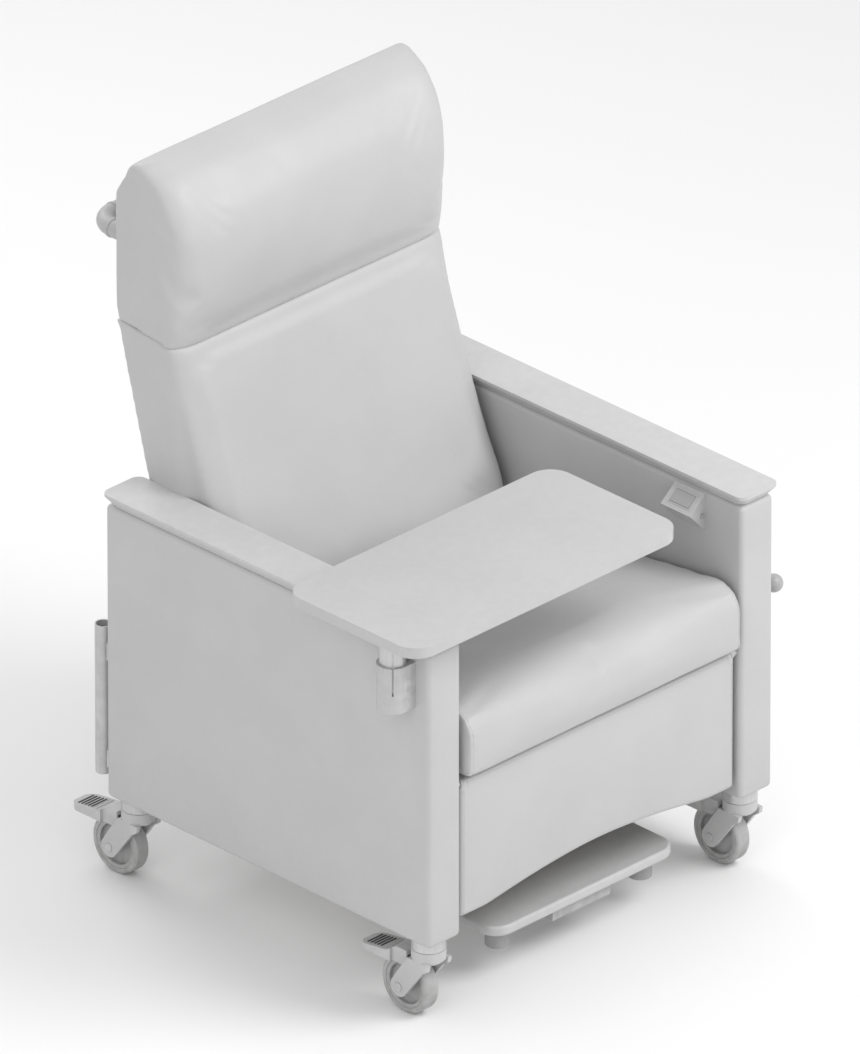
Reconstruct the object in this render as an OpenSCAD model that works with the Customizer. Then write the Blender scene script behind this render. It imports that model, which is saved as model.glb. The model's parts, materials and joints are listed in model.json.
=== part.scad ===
// Patient recliner chair on four braked casters: padded side panels with arm caps, a reclining
// back with a head cushion and a push bar, a lifting leg rest with a pull-out foot board, and a
// table that swings on a post. Millimetres. The origin is on the floor under the middle of the
// chair's outline, +X is the sitter's left, -Y is the front and +Z is up. Inside the modules, y is
// counted rearwards from the front face of the side panels, and at_origin() moves it into place.

/* [Body] */
// Width over the two side panels
body_w = 762; // [750:2:780]
// Thickness of one side panel
panel_t = 71.4; // [70:0.2:74]
// Length of a side panel, front to back
panel_len = 715; // [700:5:740]
// Height of the side panels' bottom edge above the floor
panel_bottom = 146; // [146:1:150]
// Height of the armrests above the floor
arm_h = 686; // [680:1:692]
// Thickness of an arm cap
cap_t = 21; // [18:1:24]

/* [Seat and back] */
// Height of the seat cushion's front edge above the floor
seat_h = 537; // [530:1:545]
// Fall of the seat towards the back, in degrees
seat_slope = 7.6; // [5:0.2:9]
// Height of the top of the head cushion above the floor
back_h = 1222; // [1210:1:1235]
// Distance the push bar stands behind the side panels' front face
bar_reach = 858.4; // [850:0.2:880]
// Height of the push bar above the floor
bar_h = 1067; // [1050:1:1080]

/* [Movement] */
// Angle the back reclines, in degrees
recline_angle = 50; // [40:1:50]
// Angle the leg rest lifts, in degrees
lift_angle = 80; // [70:1:80]

/* [Table] */
// Width of the table top, across the chair
table_w = 590; // [560:5:620]
// Depth of the table top, front to back
table_d = 293; // [280:1:300]
// Height of the table top's upper face above the floor
table_h = 717; // [712:1:730]
// Thickness of the table top
table_t = 19; // [16:1:22]

/* [Casters] */
// Diameter of a caster wheel
wheel_d = 100; // [98:1:101]
// Width of a caster tyre
wheel_w = 28.6; // [26:0.2:29]
// Distance from a caster's swivel axis back to its wheel axis
trail = 40; // [38:1:42]

/* [Hidden] */
$fn = 48;

// Clearances
run_gap = 0.05;
slide_gap = 0.05;
free_gap = 0.5;

// Side panels
panel_out = body_w / 2;
panel_in = panel_out - panel_t;
panel_mid = (panel_in + panel_out) / 2;
panel_top = arm_h - cap_t;
panel_edge_r = 10;
skin_t = 14;

// Arm caps
cap_half_top = 42.3;
cap_half_bottom = 31.4;
cap_over_front = 8;
cap_over_rear = 3.5;
cap_edge_t = 5;
cap_corner_r = 16;
cap_screw_y = [100, 360, 620];

// Tubes of the base frame
tube = 30;
tube_wall = 2.5;
rail_low = panel_bottom + 31;
rail_mid = 387;
rail_high = panel_top - 35;
cross_low_y = [255, 655];
cross_mid_y = [135, 400];
tube_hole = tube + 2;

// Casters: stem places, sizes of the parts
caster_front_y = 36;
caster_rear_y = 679;
caster_places = [
    [-panel_mid, caster_front_y], [panel_mid, caster_front_y],
    [-panel_mid, caster_rear_y], [panel_mid, caster_rear_y]
];
wheel_r = wheel_d / 2;
tyre_in_r = wheel_r - 9.5;
neck_r = 27.8;
flange_z = 127;
cup_z = 109;
crown_z = 104;
stem_r = 11;
socket_wall = 4;
kingpin_r = 8;
fork_in = 19.5;
fork_out = 27.1;
leg_r = 17;
axle_r = 5;
axle_head_r = 7.3;
axle_head_t = 1.8;
pedal_half_w = 19;
tread_half_w = 24;
tread_y = 62;
pedal_skirt_in = 15.4;
pedal_pivot = [19, 98];
pedal_pivot_r = 3;
pedal_tip_y = 135;
pedal_ribs = 7;

// Back: the hinge, and the straight line its uprights follow
back_hinge = [505, 440];
back_pin_r = 8;
back_half_w = 301.5;
back_hollow_half_w = 281;
upright_foot = [585, 470];
upright_head = [735, 1130];
upright_r = 12.5;
upright_x = 258;
slab_gap = 20;
seam_front = [635, 927];
seam_rear = [773, 940];
head_rear_y = 778;
head_cap_t = 72;

// Push bar
bar_r = 15;
bar_bend_r = 39;
bar_collar_r = 16;

// Overall outline, front to back, which sets the origin
table_front_y = -46.4;
centre_y = (table_front_y + bar_reach + bar_collar_r) / 2;

// Seat
seat_half_w = 304;
seat_bottom = 418;
seat_front_y = -15;
seat_rear_y = 470;
seat_crest_y = 47;
seat_front_r = 52;
seat_low_r = 12;
pan_front_y = 95;

// Leg rest
leg_hinge = [14, 406];
leg_pin_r = 5;
pad_half_w = 304;
pad_front_y = 6;
pad_back_y = 50;
pad_top = 413;
pad_bottom = 169.5;
pad_arch = 24.5;
pad_arch_half_w = 245;
leg_tube = 25;
leg_frame_y = 52;
ear_in = 296;
ear_out = 302;

// Foot board on its rail and carriage
board_half_w = 204;
board_front_y = 29;
board_rear_y = 185;
board_bottom = 82.7;
board_top = 101;
board_corner_r = 35;
carriage_half_w = 64;
carriage_front_y = 43;
carriage_bottom = 59.7;
rail_half_w = 45;
foot_pad_r = 19.5;
foot_pad_x = 158.4;
foot_pad_y = 72;
foot_pad_bottom = 45.6;
hanger_out = 56;
hanger_t = 6;
hanger_y = [190, 216];

// Actuators. Each crank swings evenly either side of straight down, so its pin moves almost
// evenly along the rod, and a slotted eye takes up the rest.
crank_pin_r = 6;
eye_wall = 4.5;
actuator_r = 17;
motor_r = 19;
back_crank = 110;
back_drive_x = 74;
back_pin = [
    back_hinge[0] + back_crank * sin(recline_angle / 2),
    back_hinge[1] - back_crank * cos(recline_angle / 2)
];
back_eye_play = 1.5;
back_drive_z = back_hinge[1] - back_crank * (1 + cos(recline_angle / 2)) / 2;
back_rod_r = 10;
back_drive_y = [200, 425];
back_rod_y = 310;
leg_crank = 130;
leg_drive_x = -74;
leg_pin = [
    leg_hinge[0] + leg_crank * sin(lift_angle / 2),
    leg_hinge[1] - leg_crank * cos(lift_angle / 2)
];
leg_eye_play = 3.5;
leg_drive_z = leg_hinge[1] - leg_crank * (1 + cos(lift_angle / 2)) / 2;
leg_rod_r = 9;
leg_drive_y = [125, 352];
leg_rod_y = 330;
actuator_pin_r = 5;

// Table, its post and the post's socket
table_left_x = -455.6;
table_corner_r = 40;
post_x = -405.5;
post_y = 54.4;
post_r = 21.4;
post_foot = 575;
post_head = 690;
socket_r = 25.8;
socket_z = [565, 645];
socket_slit_z = 597;
spigot_r = 12;
spigot_foot = 645;
plate_r = 32;
plate_z = [691, table_h - table_t];
groove_w = 2.5;
groove_depth = 2;
table_screw_r = 3;
table_screw_reach = 22;

// Socket for an infusion pole, on the back edge of the right side panel
iv_x = -365;
iv_y = 736;
iv_out_r = 13.6;
iv_bore_r = 11.3;
iv_z = [178, 440];
iv_floor_t = 6;
iv_flange_z = [210, 400];
iv_flange_x = [-376, -318];
iv_screw_x = [-350, -328];

// Control pod on the inner face of the left side panel
pod_y = [80, 145];
pod_nose = [276, 633];
pod_top = 661.5;
pod_bottom = 597;
pod_tilt = atan2(pod_top - pod_nose[1], panel_in - pod_nose[0]);
rocker_half = [11, 21];
rocker_pivot_r = 2;
rocker_pivot_depth = 4;
button_r = 4;
button_place = [302, 625];

// Leads: the one to the pod passes through two holes in the left panel's inner skin
lead_r = 2.5;
lead_hole_r = 3.5;
lead_x = panel_in + skin_t + lead_r + 0.5;
lead_holes = [[262, 310], [(pod_y[0] + pod_y[1]) / 2, 620]];

// Release lever on the outer face of the left side panel
lever_hub = [117, 463];
lever_end_y = 57.5;
lever_shaft_r = 8;
knob_r = 15.1;
knob_x = -table_left_x - knob_r;

// ---------------------------------------------------------------- helpers

module at_origin() {
    translate([0, -centre_y, 0]) children();
}

module both_sides() {
    children();
    mirror([1, 0, 0]) children();
}

module block(x, y, z) {
    translate([x[0], y[0], z[0]]) cube([x[1] - x[0], y[1] - y[0], z[1] - z[0]]);
}

module x_rod(r, x, place) {
    translate([x[0], place[0], place[1]]) rotate([0, 90, 0]) cylinder(r = r, h = x[1] - x[0]);
}

module y_rod(r, y, place) {
    translate([place[0], y[0], place[1]]) rotate([-90, 0, 0]) cylinder(r = r, h = y[1] - y[0]);
}

module z_rod(r, z, place) {
    translate([place[0], place[1], z[0]]) cylinder(r = r, h = z[1] - z[0]);
}

// A solid whose side outline, in y and z, runs between two planes of x
module across(x) {
    translate([x[0], 0, 0]) rotate([90, 0, 90]) linear_extrude(x[1] - x[0]) children();
}

module rounded_square(x, y, r) {
    translate([x[0], y[0] + r]) square([x[1] - x[0], y[1] - y[0] - 2 * r]);
    translate([x[0] + r, y[0]]) square([x[1] - x[0] - 2 * r, y[1] - y[0]]);
    for (cx = [x[0] + r, x[1] - r], cy = [y[0] + r, y[1] - r]) translate([cx, cy]) circle(r);
}

module rounded_block(x, y, z, r) {
    translate([0, 0, z[0]]) linear_extrude(z[1] - z[0]) rounded_square(x, y, r);
}

// Flat strap with round ends, from a to b
module strap(a, b, r) {
    run = b - a;
    translate(a) circle(r);
    translate(b) circle(r);
    translate(a) rotate(atan2(run[1], run[0])) translate([0, -r]) square([norm(run), 2 * r]);
}

// Round bar between two points
module bar_between(a, b, r) {
    run = b - a;
    translate(a)
        rotate([0, acos(run[2] / norm(run)), atan2(run[1], run[0])])
            cylinder(r = r, h = norm(run));
}

function arc(centre, r, from, to, steps = 8) =
    [for (i = [0 : steps]) centre + r * [cos(from + (to - from) * i / steps), sin(from + (to - from) * i / steps)]];

function middle(span) = (span[0] + span[1]) / 2;

// Smooth line through the points, which it meets at steps even parts of each stretch
function smooth_line(points, steps = 5) = let (last = len(points) - 1) concat(
    [for (i = [0 : last - 1], k = [0 : steps - 1]) let (
        t = k / steps,
        before = points[max(i - 1, 0)],
        a = points[i],
        b = points[i + 1],
        after = points[min(i + 2, last)]
    ) (2 * a + (b - before) * t + (2 * before - 5 * a + 4 * b - after) * t * t
        + (3 * a - before - 3 * b + after) * t * t * t) / 2],
    [points[last]]
);

// Place, front to back, of the back's uprights at a height
function upright_y(z) =
    upright_foot[0] + (z - upright_foot[1]) * (upright_head[0] - upright_foot[0]) / (upright_head[1] - upright_foot[1]);

upright_lean = atan2(upright_head[0] - upright_foot[0], upright_head[1] - upright_foot[1]);

function slab_y(z) = upright_y(z) - slab_gap;

// ---------------------------------------------------------------- base

module frame_bar(a, b, size) {
    half = [size, size, size] / 2;
    translate(a - half) cube(b - a + 2 * half);
}

module frame_bars(size) {
    both_sides() {
        for (z = [rail_low, rail_mid, rail_high])
            frame_bar([panel_mid, caster_front_y, z], [panel_mid, caster_rear_y, z], size);
        for (y = [caster_front_y, back_hinge[0], caster_rear_y])
            frame_bar([panel_mid, y, rail_low], [panel_mid, y, rail_high], size);
    }
    for (y = cross_low_y) frame_bar([-panel_mid, y, rail_low], [panel_mid, y, rail_low], size);
    for (y = cross_mid_y) frame_bar([-panel_mid, y, rail_mid], [panel_mid, y, rail_mid], size);
}

module caster_sockets(r, top) {
    for (place = caster_places) z_rod(r, [panel_bottom, top], place);
}

module hinge_bosses(r) {
    both_sides() x_rod(r, [panel_in + skin_t, panel_mid + tube / 2 - tube_wall], back_hinge);
}

// Pairs of plates that hold an actuator's fixed end under a cross tube
module actuator_cheeks(x, y, z) {
    for (side = [-1, 1])
        difference() {
            block([x + side * 12 - 2, x + side * 12 + 2], y, [z - 16, rail_mid - tube / 2]);
            x_rod(actuator_pin_r + run_gap, [x - 15, x + 15], [middle(y), z]);
        }
}

back_cheek_y = [cross_mid_y[0] + tube / 2 + 14, cross_mid_y[0] + tube / 2 + 42];
leg_cheek_y = [leg_drive_y[1] + 3, leg_drive_y[1] + 29];

module actuator_arms() {
    block([back_drive_x - 14, back_drive_x + 14], [cross_mid_y[0], back_cheek_y[1]],
          [rail_mid - tube / 2 - 4, rail_mid - tube / 2]);
    block([leg_drive_x - 14, leg_drive_x + 14], [leg_cheek_y[0], cross_mid_y[1]],
          [rail_mid - tube / 2 - 4, rail_mid - tube / 2]);
    actuator_cheeks(back_drive_x, back_cheek_y, back_drive_z);
    actuator_cheeks(leg_drive_x, leg_cheek_y, leg_drive_z);
}

module base_frame() {
    inner = tube - 2 * tube_wall;
    socket_top = rail_low + tube / 2 + 10;
    color("dimgray") at_origin() {
        difference() {
            union() {
                frame_bars(tube);
                caster_sockets(stem_r + socket_wall, socket_top);
            }
            difference() {
                frame_bars(inner);
                caster_sockets(stem_r + socket_wall, socket_top);
                hinge_bosses(back_pin_r + socket_wall);
            }
            caster_sockets(stem_r + run_gap, socket_top + 1);
            hinge_bosses(back_pin_r + run_gap);
        }
        actuator_arms();
    }
}

// One side panel, drawn on the sitter's left
module panel_shell() {
    skins = [panel_in + skin_t, panel_out - skin_t];
    through = [panel_in - 1, panel_in + skin_t + 1];
    difference() {
        rounded_block([panel_in, panel_out], [0, panel_len], [panel_bottom, panel_top], panel_edge_r);
        block(skins, [skin_t, panel_len - skin_t], [panel_bottom + skin_t, panel_top - skin_t]);
        for (y = cross_low_y)
            block(through, [y - tube_hole / 2, y + tube_hole / 2], [rail_low - tube_hole / 2, rail_low + tube_hole / 2]);
        for (y = cross_mid_y)
            block(through, [y - tube_hole / 2, y + tube_hole / 2], [rail_mid - tube_hole / 2, rail_mid + tube_hole / 2]);
        for (y = [caster_front_y, caster_rear_y])
            z_rod(stem_r + socket_wall + free_gap, [panel_bottom - 1, panel_bottom + skin_t + 1], [panel_mid, y]);
        for (y = cap_screw_y)
            z_rod(3.2, [panel_top - skin_t - 1, panel_top + 1], [panel_mid, y]);
        x_rod(back_pin_r + run_gap, through, back_hinge);
        x_rod(leg_pin_r + run_gap, [panel_in - 1, panel_in + 12], leg_hinge);
    }
}

module side_panel_left() {
    color("lightsteelblue") at_origin() difference() {
        panel_shell();
        x_rod(lever_shaft_r + run_gap, [panel_out - skin_t - 1, panel_out + 1], lever_hub);
        for (place = lead_holes) x_rod(lead_hole_r, [panel_in - 1, panel_in + skin_t + 1], place);
    }
}

socket_screw_y = [post_y - 20.5, post_y + 20.5];
socket_screw_z = [socket_z[0] + 15, socket_z[1] - 15];

module side_panel_right() {
    color("lightsteelblue") at_origin() difference() {
        mirror([1, 0, 0]) panel_shell();
        for (y = socket_screw_y, z = socket_screw_z)
            x_rod(2.6, [-panel_out - 1, -panel_out + skin_t + 1], [y, z]);
        for (x = iv_screw_x, z = iv_flange_z)
            y_rod(2.6, [panel_len - skin_t - 1, panel_len + 1], [x, z]);
    }
}

module arm_cap() {
    difference() {
        hull() {
            rounded_block([panel_mid - cap_half_bottom, panel_mid + cap_half_bottom],
                          [panel_edge_r / 2, panel_len - panel_edge_r],
                          [panel_top, panel_top + 1], cap_corner_r, $fn = 32);
            rounded_block([panel_mid - cap_half_top, panel_mid + cap_half_top],
                          [-cap_over_front, panel_len + cap_over_rear],
                          [arm_h - cap_edge_t, arm_h], cap_corner_r, $fn = 32);
        }
        for (y = cap_screw_y) z_rod(3 + run_gap, [panel_top - 1, panel_top + 12], [panel_mid, y]);
    }
}

module arm_cap_left() {
    color("gainsboro") at_origin() arm_cap();
}

module arm_cap_right() {
    color("gainsboro") at_origin() difference() {
        mirror([1, 0, 0]) arm_cap();
        z_rod(post_r + free_gap, [panel_top - 1, arm_h + 1], [post_x, post_y]);
    }
}

// Screws that hold the arm caps, the table socket and the pole tube to the panels
module panel_screws() {
    color("silver") at_origin() {
        both_sides() for (y = cap_screw_y) {
            z_rod(6, [panel_top - skin_t - 4, panel_top - skin_t], [panel_mid, y]);
            z_rod(3, [panel_top - skin_t - 1, panel_top + 11], [panel_mid, y]);
        }
        for (y = socket_screw_y, z = socket_screw_z) {
            x_rod(5, [-panel_out + skin_t, -panel_out + skin_t + 3], [y, z]);
            x_rod(2.5, [-panel_out - 10, -panel_out + skin_t + 1], [y, z]);
        }
        for (x = iv_screw_x, z = iv_flange_z) {
            y_rod(5, [panel_len + 3, panel_len + 6], [x, z]);
            y_rod(2.5, [panel_len - 12, panel_len + 4], [x, z]);
        }
    }
}

module seat_pan() {
    color("burlywood") at_origin()
        rounded_block([-296, 296], [pan_front_y, seat_rear_y - 8],
                      [rail_mid + tube / 2, seat_bottom - 1], 12);
}

module seat_cushion() {
    fall = tan(seat_slope);
    crest = seat_h + fall * (seat_crest_y - seat_front_y - seat_front_r);
    bend = [seat_front_y + seat_front_r, crest - seat_front_r / cos(seat_slope)];
    rear_top = seat_h - fall * (seat_rear_y - seat_crest_y);
    color("slategray") at_origin() across([-seat_half_w, seat_half_w]) polygon(concat(
        arc([seat_front_y + seat_low_r, seat_bottom + seat_low_r], seat_low_r, 270, 180),
        arc(bend, seat_front_r, 180, 90 - seat_slope),
        [[seat_rear_y, rear_top], [seat_rear_y, seat_bottom]]
    ));
}

module back_hinge_pins() {
    color("silver") at_origin() both_sides() x_rod(back_pin_r, [278, panel_mid + 4], back_hinge);
}

module legrest_hinge_pins() {
    color("silver") at_origin() both_sides() x_rod(leg_pin_r, [ear_in - 1, panel_in + 11.5], leg_hinge);
}

// Electric actuator: outer tube, gearbox, motor and a lug for its fixed end. The tube is bored for
// the rod over bore_y, and the lug turns on a pin at pin_y.
module actuator(x, y, z, rod_r, bore_y, gear_y, motor_y, lug_y, pin_y) {
    difference() {
        union() {
            y_rod(actuator_r, y, [x, z]);
            block([x - 22, x + 22], gear_y, [z - 62, z + 20]);
        }
        y_rod(rod_r + slide_gap, bore_y, [x, z]);
    }
    y_rod(motor_r, motor_y, [x, z - 41]);
    difference() {
        block([x - 9, x + 9], lug_y, [z - 10, z + 10]);
        x_rod(actuator_pin_r + run_gap, [x - 10, x + 10], [pin_y, z]);
    }
}

module back_actuator() {
    color("dimgray") at_origin() actuator(
        back_drive_x, back_drive_y, back_drive_z, back_rod_r,
        [back_drive_y[0] + 8, back_drive_y[1] + 1],
        [back_drive_y[0], back_drive_y[0] + 50], [back_drive_y[0] + 50, back_drive_y[0] + 140],
        [back_cheek_y[0], back_drive_y[0]], middle(back_cheek_y)
    );
}

module legrest_actuator() {
    color("dimgray") at_origin() actuator(
        leg_drive_x, leg_drive_y, leg_drive_z, leg_rod_r,
        [leg_drive_y[0] - 1, leg_rod_y + 5],
        [leg_drive_y[1] - 50, leg_drive_y[1]], [leg_drive_y[1] - 130, leg_drive_y[1] - 50],
        [leg_drive_y[1], leg_cheek_y[1]], middle(leg_cheek_y)
    );
}

module actuator_pins() {
    color("silver") at_origin() {
        x_rod(actuator_pin_r, [back_drive_x - 15, back_drive_x + 15], [middle(back_cheek_y), back_drive_z]);
        x_rod(actuator_pin_r, [leg_drive_x - 15, leg_drive_x + 15], [middle(leg_cheek_y), leg_drive_z]);
    }
}

control_box_x = [110, 230];
control_box_y = [222, 302];
control_box_top = rail_low + tube / 2 + 58;

module control_box() {
    color("darkslategray") at_origin()
        rounded_block(control_box_x, control_box_y, [rail_low + tube / 2, control_box_top], 6);
}

module lead(points) {
    for (i = [0 : len(points) - 2]) bar_between(points[i], points[i + 1], lead_r);
    for (i = [1 : len(points) - 2]) translate(points[i]) sphere(lead_r);
}

module leads() {
    box_x = control_box_x[0] + 20;
    top = control_box_top;
    motor_z = back_drive_z - 41;
    color("black") at_origin() {
        lead([[box_x, 240, top], [box_x, 240, motor_z], [back_drive_x + 22, 240, motor_z]]);
        lead([[box_x, 285, top], [box_x, 285, top + 8], [box_x, 327, top + 8],
              [leg_drive_x + 22, 327, top + 8]]);
        lead([[control_box_x[1] - 20, lead_holes[0][0], top],
              [control_box_x[1] - 20, lead_holes[0][0], lead_holes[0][1]],
              [lead_x, lead_holes[0][0], lead_holes[0][1]],
              [lead_x, lead_holes[1][0], lead_holes[0][1]],
              [lead_x, lead_holes[1][0], lead_holes[1][1]],
              [panel_in, lead_holes[1][0], lead_holes[1][1]]]);
    }
}

module table_socket() {
    slit_at = [post_x, post_y];
    color("silver") at_origin() difference() {
        union() {
            z_rod(socket_r, socket_z, slit_at);
            block([post_x, -panel_out], [post_y - socket_r, post_y + socket_r], socket_z);
        }
        block([-panel_out, post_x + socket_r + 1], [post_y - socket_r, post_y + socket_r],
              [socket_z[0] - 1, socket_z[1] + 1]);
        z_rod(post_r + slide_gap, [socket_z[0] + 5, socket_z[1] + 1], slit_at);
        translate([post_x, post_y, 0]) rotate([0, 0, 225])
            block([post_r - 2, socket_r + 2], [-groove_w / 2, groove_w / 2], [socket_slit_z, socket_z[1] + 1]);
        for (y = socket_screw_y, z = socket_screw_z)
            x_rod(2.5 + run_gap, [-panel_out - 11, -panel_out + 1], [y, z]);
    }
}

module iv_pole_tube() {
    web_half = 4;
    color("silver") at_origin() difference() {
        union() {
            z_rod(iv_out_r, iv_z, [iv_x, iv_y]);
            for (z = iv_flange_z) {
                block(iv_flange_x, [panel_len, panel_len + 3], [z - 15, z + 15]);
                block([iv_x - web_half, iv_x + web_half], [panel_len + 3, iv_y], [z - 15, z + 15]);
            }
        }
        z_rod(iv_bore_r, [iv_z[0] + iv_floor_t, iv_z[1] + 1], [iv_x, iv_y]);
        for (x = iv_screw_x, z = iv_flange_z) y_rod(2.6, [panel_len - 1, panel_len + 4], [x, z]);
    }
}

// Frame of the pod's sloping face: x up the slope, z out of the face
module on_pod_face() {
    translate([(pod_nose[0] + panel_in) / 2, (pod_y[0] + pod_y[1]) / 2, (pod_nose[1] + pod_top) / 2])
        rotate([0, -pod_tilt, 0]) children();
}

module control_housing() {
    pocket = rocker_half + [0.6, 0.6];
    color("gainsboro") at_origin() difference() {
        union() {
            translate([0, pod_y[1], 0]) rotate([90, 0, 0]) linear_extrude(pod_y[1] - pod_y[0])
                polygon([[panel_in, pod_bottom], [panel_in, pod_top], pod_nose]);
            on_pod_face() block([-13.5, 13.5], [-24, 24], [-2, 1]);
        }
        on_pod_face() {
            block([-pocket[0], pocket[0]], [-pocket[1], pocket[1]], [-9, 2]);
            x_rod(rocker_pivot_r + run_gap, [-15, 15], [0, -rocker_pivot_depth]);
        }
        y_rod(button_r + run_gap, [pod_y[0] - 1, pod_y[0] + 11], button_place);
    }
}

module control_rocker() {
    color("white") at_origin() on_pod_face() {
        block([-rocker_half[0], rocker_half[0]], [-rocker_half[1], rocker_half[1]], [-7, 1.5]);
        x_rod(rocker_pivot_r, [-14, 14], [0, -rocker_pivot_depth]);
    }
}

module control_button() {
    color("black") at_origin() y_rod(button_r, [pod_y[0] - 2.5, pod_y[0] + 6], button_place);
}

module release_lever() {
    hub_face = panel_out + free_gap;
    color("silver") at_origin() {
        x_rod(lever_shaft_r, [panel_out - skin_t - 8, hub_face + 1], lever_hub);
        x_rod(14, [hub_face, hub_face + 11], lever_hub);
        across([hub_face + 11, hub_face + 18]) strap(lever_hub, [lever_end_y, lever_hub[1]], 8);
        x_rod(5, [hub_face + 17, knob_x - 8], [lever_end_y, lever_hub[1]]);
    }
}

module lever_knob() {
    color("black") at_origin() difference() {
        union() {
            translate([knob_x, lever_end_y, lever_hub[1]]) sphere(knob_r);
            x_rod(7.5, [knob_x - knob_r, knob_x], [lever_end_y, lever_hub[1]]);
        }
        x_rod(5 + run_gap, [knob_x - knob_r - 1, knob_x - 7.5], [lever_end_y, lever_hub[1]]);
    }
}

// ---------------------------------------------------------------- back

module crank(hub, pin, x, reach) {
    across(x) strap(hub, pin, crank_pin_r + 6);
    x_rod(crank_pin_r, reach, pin);
}

module upright_tubes(r) {
    both_sides()
        bar_between([upright_x, upright_foot[0], upright_foot[1]], [upright_x, upright_head[0], upright_head[1]], r);
    x_rod(r, [-upright_x - r + 1, upright_x + r - 1], upright_head);
}

module back_frame() {
    cheek = [upright_x - 5, upright_x + 5];
    color("dimgray") at_origin() difference() {
        union() {
            upright_tubes(upright_r);
            x_rod(14, [-ear_in + 1, ear_in - 1], back_hinge);
            both_sides() across(cheek) polygon([
                back_hinge + [-6, -12], back_hinge + [95, 0], back_hinge + [101, 45],
                back_hinge + [65, 45], back_hinge + [65, 14], back_hinge + [0, 14]
            ]);
            for (z = [700, bar_h]) x_rod(9, [-upright_x, upright_x], [upright_y(z), z]);
            crank(back_hinge, back_pin, [back_drive_x - 17, back_drive_x - 11], [back_drive_x - 17, back_drive_x + 10]);
        }
        both_sides() x_rod(back_pin_r + run_gap, [277, ear_in], back_hinge);
    }
}

module back_cushion() {
    front = smooth_line([[484, 461], [488, 531], [526, 620], [577, 749], seam_front]);
    rear = [seam_rear, [707, 687], [657, 505], [640, 482]];
    color("slategray") at_origin() difference() {
        across([-back_half_w, back_half_w]) polygon(concat(front, rear));
        across([-back_hollow_half_w, back_hollow_half_w])
            polygon([[slab_y(440), 440], [slab_y(960), 960], [820, 960], [820, 440]]);
    }
}

module head_cushion() {
    crown_r = 46;
    crown = arc([713, back_h - crown_r], crown_r, 100, 24);
    front = smooth_line([seam_front + [0, 1], [623, 1006], [620, 1082], [630, 1146], [661, 1196], crown[0]]);
    rear = [[775, 1165], [head_rear_y, 1127], [head_rear_y, 1032], seam_rear + [0, 1]];
    inner_top = back_h - head_cap_t;
    color("slategray") at_origin() difference() {
        across([-back_half_w, back_half_w])
            polygon(concat(front, [for (i = [1 : len(crown) - 1]) crown[i]], rear));
        across([-back_hollow_half_w, back_hollow_half_w])
            polygon([[slab_y(900), 900], [slab_y(inner_top), inner_top], [820, inner_top], [820, 900]]);
    }
}

module back_panel() {
    rear = [[657, 505], [707, 687], seam_rear, [head_rear_y, 1032], [head_rear_y, 1148]];
    board_t = 10;
    fronts = [for (i = [len(rear) - 1 : -1 : 0]) rear[i] - [board_t, 0]];
    color("slategray") at_origin() difference() {
        across([-back_hollow_half_w + 1, back_hollow_half_w - 1]) polygon(concat(rear, fronts));
        both_sides() y_rod(bar_collar_r + 1, [700, 800], [upright_x, bar_h]);
    }
}

module push_bar() {
    turn_x = upright_x - bar_bend_r;
    bend_y = bar_reach - bar_bend_r;
    leg_start = upright_y(bar_h + bar_r) + upright_r / cos(upright_lean) + run_gap;
    color("dimgray") at_origin() {
        both_sides() {
            y_rod(bar_r, [leg_start, bend_y], [upright_x, bar_h]);
            y_rod(bar_collar_r, [bend_y - 2, bend_y + 2], [upright_x, bar_h]);
            x_rod(bar_collar_r, [turn_x - 2, turn_x + 2], [bar_reach, bar_h]);
        }
        for (side = [0, 1])
            translate([turn_x * (1 - 2 * side), bend_y, bar_h]) rotate(90 * side)
                rotate_extrude(angle = 90) translate([bar_bend_r, 0]) circle(bar_r);
        x_rod(bar_r, [-turn_x, turn_x], [bar_reach, bar_h]);
    }
}

// End fitting of an actuator rod, with an upright slot round a crank pin
module slotted_eye(x, pin_y, z, swing, play) {
    slot_r = crank_pin_r + play;
    half_h = swing / 2 + slot_r + eye_wall;
    half_w = slot_r + eye_wall;
    difference() {
        block([x - 5, x + 5], [pin_y - half_w, pin_y + half_w], [z - half_h, z + half_h]);
        across([x - 6, x + 6]) strap([pin_y, z - swing / 2], [pin_y, z + swing / 2], slot_r);
    }
}

module back_actuator_rod() {
    swing = back_crank * (1 - cos(recline_angle / 2));
    eye_front = back_pin[0] - crank_pin_r - back_eye_play - eye_wall;
    color("silver") at_origin() {
        y_rod(back_rod_r, [back_rod_y, eye_front + 1], [back_drive_x, back_drive_z]);
        slotted_eye(back_drive_x, back_pin[0], back_drive_z, swing, back_eye_play);
    }
}

// ---------------------------------------------------------------- leg rest

module legrest_frame() {
    y = [leg_frame_y, leg_frame_y + leg_tube];
    top = [pad_top - 1 - leg_tube, pad_top - 1];
    bottom = [pad_bottom + pad_arch, pad_bottom + pad_arch + leg_tube];
    post_x0 = leg_drive_x - 16 - leg_tube;
    color("dimgray") at_origin() difference() {
        union() {
            block([-ear_out, ear_out], y, top);
            block([-270, 270], y, bottom);
            both_sides() block([270 - leg_tube, 270], y, [bottom[0], top[1]]);
            block([post_x0, post_x0 + leg_tube], y, [bottom[0], top[1]]);
            both_sides() across([ear_in, ear_out]) strap(leg_hinge, [leg_frame_y + 8, leg_hinge[1]], 7);
            crank([leg_frame_y + 13, leg_pin[1]], leg_pin, [leg_drive_x - 16, leg_drive_x - 10],
                  [leg_drive_x - 16, leg_drive_x + 10]);
        }
        both_sides() x_rod(leg_pin_r + run_gap, [ear_in - 1, ear_out + 1], leg_hinge);
    }
}

// Lower edge of the leg rest: level at the ends, with one low arch between them
function pad_edge(x) =
    abs(x) > pad_arch_half_w ? pad_bottom : pad_bottom + pad_arch * cos(90 * x / pad_arch_half_w);

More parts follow.
